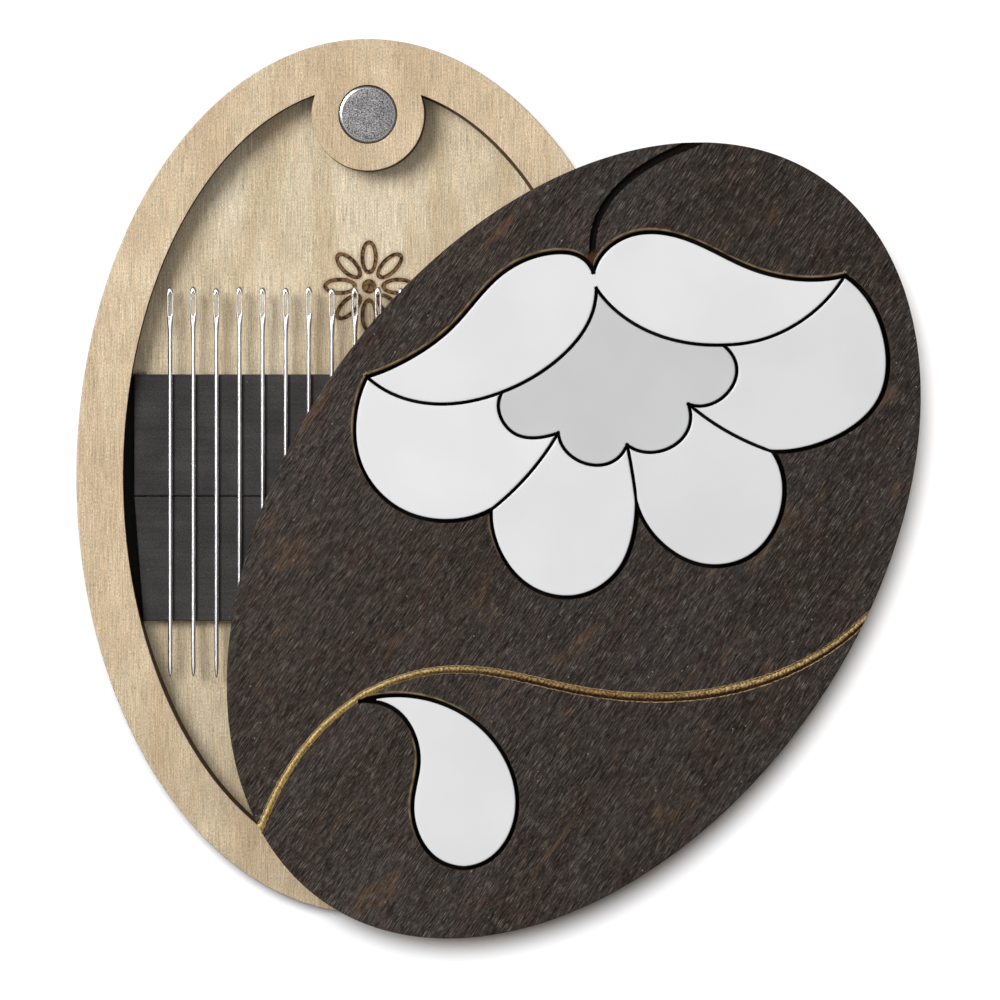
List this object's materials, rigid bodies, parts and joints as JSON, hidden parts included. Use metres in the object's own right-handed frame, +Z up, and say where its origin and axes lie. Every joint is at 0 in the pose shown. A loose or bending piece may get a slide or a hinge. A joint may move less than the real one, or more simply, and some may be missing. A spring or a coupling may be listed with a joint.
{
  "type": "needle case",
  "caption": "Oval wooden needle case: a shallow tray with magnetic strips holding sewing needles, and a flower-inlaid lid that swivels and lifts off on disc magnets.",
  "frame": {"origin": "centre of the base's bottom face", "axes": "+Z up out of the tray, +Y along the tray's long axis towards the magnet that the resting lid leaves uncovered"},
  "size_m": [0.0867, 0.0924, 0.0121],
  "materials": {
    "birch_ply": "bare sanded birch plywood, scorched on its cut edges",
    "stained_ply": "dark stained plywood, matt, with fine pale grain",
    "white_acrylic": "polished",
    "grey_acrylic": "polished",
    "nickel": "nickel plated, speckled face with a bright rim",
    "magnetic_rubber": "matt",
    "needle_steel": "polished"
  },
  "bodies": {
    "tray": {"base_panel": "birch_ply", "rim_frame": "birch_ply", "upper_base_magnet": "nickel", "lower_base_magnet": "nickel", "upper_magnetic_strip": "magnetic_rubber", "lower_magnetic_strip": "magnetic_rubber", "needle_04": "needle_steel", "needle_05": "needle_steel", "needle_06": "needle_steel", "needle_07": "needle_steel", "needle_08": "needle_steel", "needle_09": "needle_steel", "needle_10": "needle_steel", "needle_11": "needle_steel", "needle_12": "needle_steel", "needle_13": "needle_steel", "needle_14": "needle_steel", "needle_15": "needle_steel", "needle_16": "needle_steel", "needle_17": "needle_steel", "needle_18": "needle_steel"},
    "first_needle": {"needle_01": "needle_steel"},
    "second_needle": {"needle_02": "needle_steel"},
    "third_needle": {"needle_03": "needle_steel"},
    "pivot_magnet": {"lower_lid_magnet": "nickel"},
    "lid": {"lid_back_panel": "birch_ply", "lid_front_panel": "stained_ply", "upper_lid_magnet": "nickel", "upper_petal_pair": "white_acrylic", "left_petal": "white_acrylic", "lower_left_petal": "white_acrylic", "lower_right_petal": "white_acrylic", "right_petal": "white_acrylic", "flower_centre": "grey_acrylic", "leaf_inlay": "white_acrylic"}
  },
  "joints": [
    {"name": "lid_lift", "type": "slide", "parent": "tray", "child": "pivot_magnet", "axis": [0, 0, 1], "range_m": [0, 0.025]},
    {"name": "lid_swivel", "type": "hinge", "parent": "pivot_magnet", "child": "lid", "pos_m": [0, -0.03725, 0.00605], "axis": [0, 0, 1], "range_deg": [-145.4, 34.6]},
    {"name": "first_needle_lift", "type": "slide", "parent": "tray", "child": "first_needle", "axis": [0, 0, 1], "range_m": [0, 0.012]},
    {"name": "second_needle_lift", "type": "slide", "parent": "tray", "child": "second_needle", "axis": [0, 0, 1], "range_m": [0, 0.012]},
    {"name": "third_needle_lift", "type": "slide", "parent": "tray", "child": "third_needle", "axis": [0, 0, 1], "range_m": [0, 0.012]}
  ]
}
